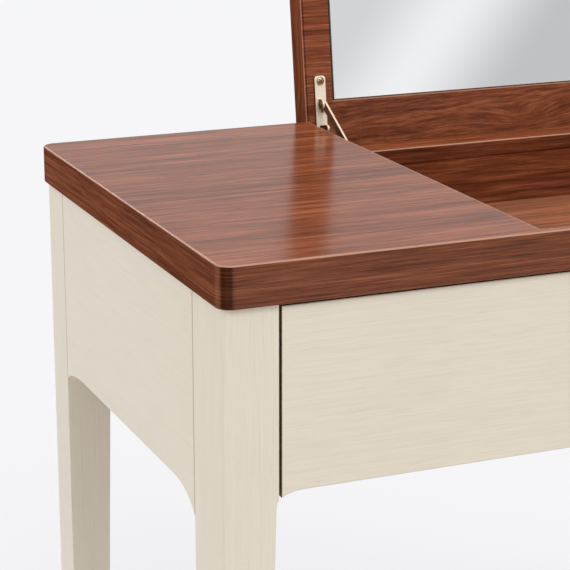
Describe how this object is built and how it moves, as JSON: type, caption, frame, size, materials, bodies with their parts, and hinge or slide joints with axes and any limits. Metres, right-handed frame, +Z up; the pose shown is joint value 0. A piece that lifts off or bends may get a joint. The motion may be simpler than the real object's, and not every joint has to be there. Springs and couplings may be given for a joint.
{
  "type": "flip top vanity table",
  "caption": "Dressing table with a hinged mirror lid over a fitted compartment, drawers in the apron, and legs tapered on the inner side.",
  "frame": {"origin": "on the floor, midway across the table and midway between its front edge and the furthest reach of the open lid behind it", "axes": "+Z up, +Y from the user towards the back, +X to the user's right"},
  "size_m": [1, 0.5412, 1.1539],
  "materials": {
    "walnut_top": "satin lacquered walnut veneer, grain along X",
    "walnut_lid": "satin lacquered walnut veneer, grain along X",
    "walnut_inside": "lacquered walnut veneer",
    "walnut_ledge": "satin lacquered walnut veneer",
    "cream_paint_upright": "open-grain cream paint, grain upright",
    "cream_paint_level": "open-grain cream paint, grain level",
    "plain_wood": "sanded solid wood",
    "drawer_wood": "clear lacquered wood",
    "runner_beech": "waxed beech",
    "steel": "zinc plated",
    "hinge_brass": "satin brass",
    "stay_brass": "satin champagne brass",
    "track_metal": "satin champagne die casting",
    "mirror_glass": "silvered float glass",
    "tape": "foam tape",
    "bumper": "soft clear pad",
    "glide": "matt nylon"
  },
  "bodies": {
    "table": {"centre_divider": "plain_wood", "compartment_floor": "walnut_inside", "compartment_front_wall": "walnut_inside", "compartment_ledge": "walnut_ledge", "compartment_left_wall": "walnut_inside", "compartment_rear_wall": "walnut_inside", "compartment_right_wall": "walnut_inside", "corner_blocks": "plain_wood", "corner_bolts": "steel", "frame_dowels": "runner_beech", "front_rail": "plain_wood", "hinge_frame_leaves": "hinge_brass", "hinge_frame_screws": "hinge_brass", "hinge_pins": "hinge_brass", "left_drawer_runners": "runner_beech", "left_front_leg": "cream_paint_upright", "left_rear_leg": "cream_paint_upright", "left_runner_bearer": "plain_wood", "left_side_apron": "cream_paint_level", "left_stay_track": "track_metal", "leg_glides": "glide", "lid_bumpers": "bumper", "rear_apron": "cream_paint_level", "right_drawer_runners": "runner_beech", "right_front_leg": "cream_paint_upright", "right_rear_leg": "cream_paint_upright", "right_runner_bearer": "plain_wood", "right_side_apron": "cream_paint_level", "right_stay_track": "track_metal", "stay_track_screws": "steel", "top_panel": "walnut_top", "top_screws": "steel"},
    "lid": {"lid_panel": "walnut_lid", "mirror": "mirror_glass", "mirror_tape": "tape", "hinge_lid_leaves": "hinge_brass", "hinge_lid_screws": "hinge_brass", "left_stay_plate": "stay_brass", "right_stay_plate": "stay_brass", "stay_rivets": "stay_brass", "stay_plate_screws": "stay_brass"},
    "left_stay_arm": {"left_stay_arm": "stay_brass"},
    "right_stay_arm": {"right_stay_arm": "stay_brass"},
    "left_drawer": {"left_drawer_back": "drawer_wood", "left_drawer_bottom": "drawer_wood", "left_drawer_front": "cream_paint_level", "left_drawer_inner_side": "drawer_wood", "left_drawer_outer_side": "drawer_wood"},
    "right_drawer": {"right_drawer_back": "drawer_wood", "right_drawer_bottom": "drawer_wood", "right_drawer_front": "cream_paint_level", "right_drawer_inner_side": "drawer_wood", "right_drawer_outer_side": "drawer_wood"}
  },
  "joints": [
    {"name": "lid_hinge", "type": "hinge", "parent": "table", "child": "lid", "pos_m": [0, 0.17939, 0.7195], "axis": [1, 0, 0], "range_deg": [0, 98]},
    {"name": "left_stay_pivot", "type": "hinge", "parent": "lid", "child": "left_stay_arm", "pos_m": [-0.22, 0.18347, 0.76467], "axis": [1, 0, 0], "range_deg": [-117.6, 0]},
    {"name": "right_stay_pivot", "type": "hinge", "parent": "lid", "child": "right_stay_arm", "pos_m": [0.22, 0.18347, 0.76467], "axis": [1, 0, 0], "range_deg": [-117.6, 0]},
    {"name": "left_drawer_slide", "type": "slide", "parent": "table", "child": "left_drawer", "axis": [0, -1, 0], "range_m": [0, 0.3]},
    {"name": "right_drawer_slide", "type": "slide", "parent": "table", "child": "right_drawer", "axis": [0, -1, 0], "range_m": [0, 0.3]}
  ],
  "couplings": [
    {"joint": "left_stay_pivot", "follows": "lid_hinge", "ratio": -1.2},
    {"joint": "right_stay_pivot", "follows": "lid_hinge", "ratio": -1.2}
  ]
}
